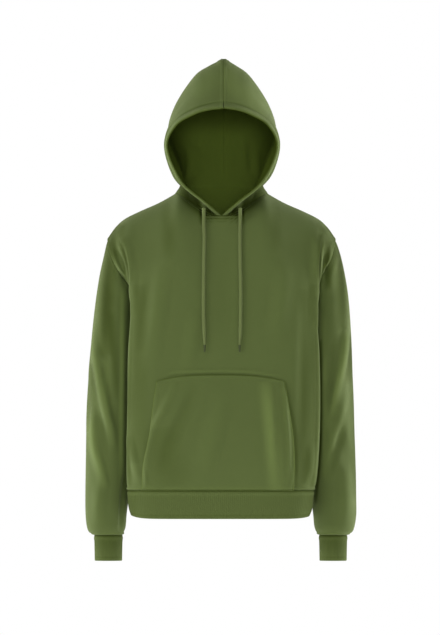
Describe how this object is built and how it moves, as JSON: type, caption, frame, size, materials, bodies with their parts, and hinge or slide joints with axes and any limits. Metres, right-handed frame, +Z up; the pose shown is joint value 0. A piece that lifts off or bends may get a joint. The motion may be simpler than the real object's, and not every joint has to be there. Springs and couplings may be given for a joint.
{
  "type": "pullover hoodie",
  "caption": "Relaxed pullover hoodie in brushed knit, filled out and hollow, with raised hood, drawcord ends, front hand pocket, dropped shoulders and ribbed hem and cuffs.",
  "frame": {"origin": "middle of the neck base, level with the inner ends of the shoulder seams, where the wearer's neck and shoulders hold the garment", "axes": "+Z up toward the hood, -Y out of the front, +X toward the wearer's left sleeve"},
  "size_m": [0.591, 0.2801, 1.0935],
  "materials": {
    "jersey": "soft matte brushed fleece jersey, olive green",
    "rib": "matte ribbed knit, olive green",
    "cord": "matte knitted cord, olive green",
    "cord_tip": "pressed and bound cord end, dark olive"
  },
  "bodies": {
    "root": {"front_panel": "jersey", "back_panel": "jersey", "pocket": "jersey", "sleeve_left": "jersey", "sleeve_right": "jersey", "hood_left": "jersey", "hood_right": "jersey", "hem_band": "rib", "cuff_left": "rib", "cuff_right": "rib", "cord_left": "cord", "cord_right": "cord", "cord_tip_left": "cord_tip", "cord_tip_right": "cord_tip"}
  },
  "joints": []
}
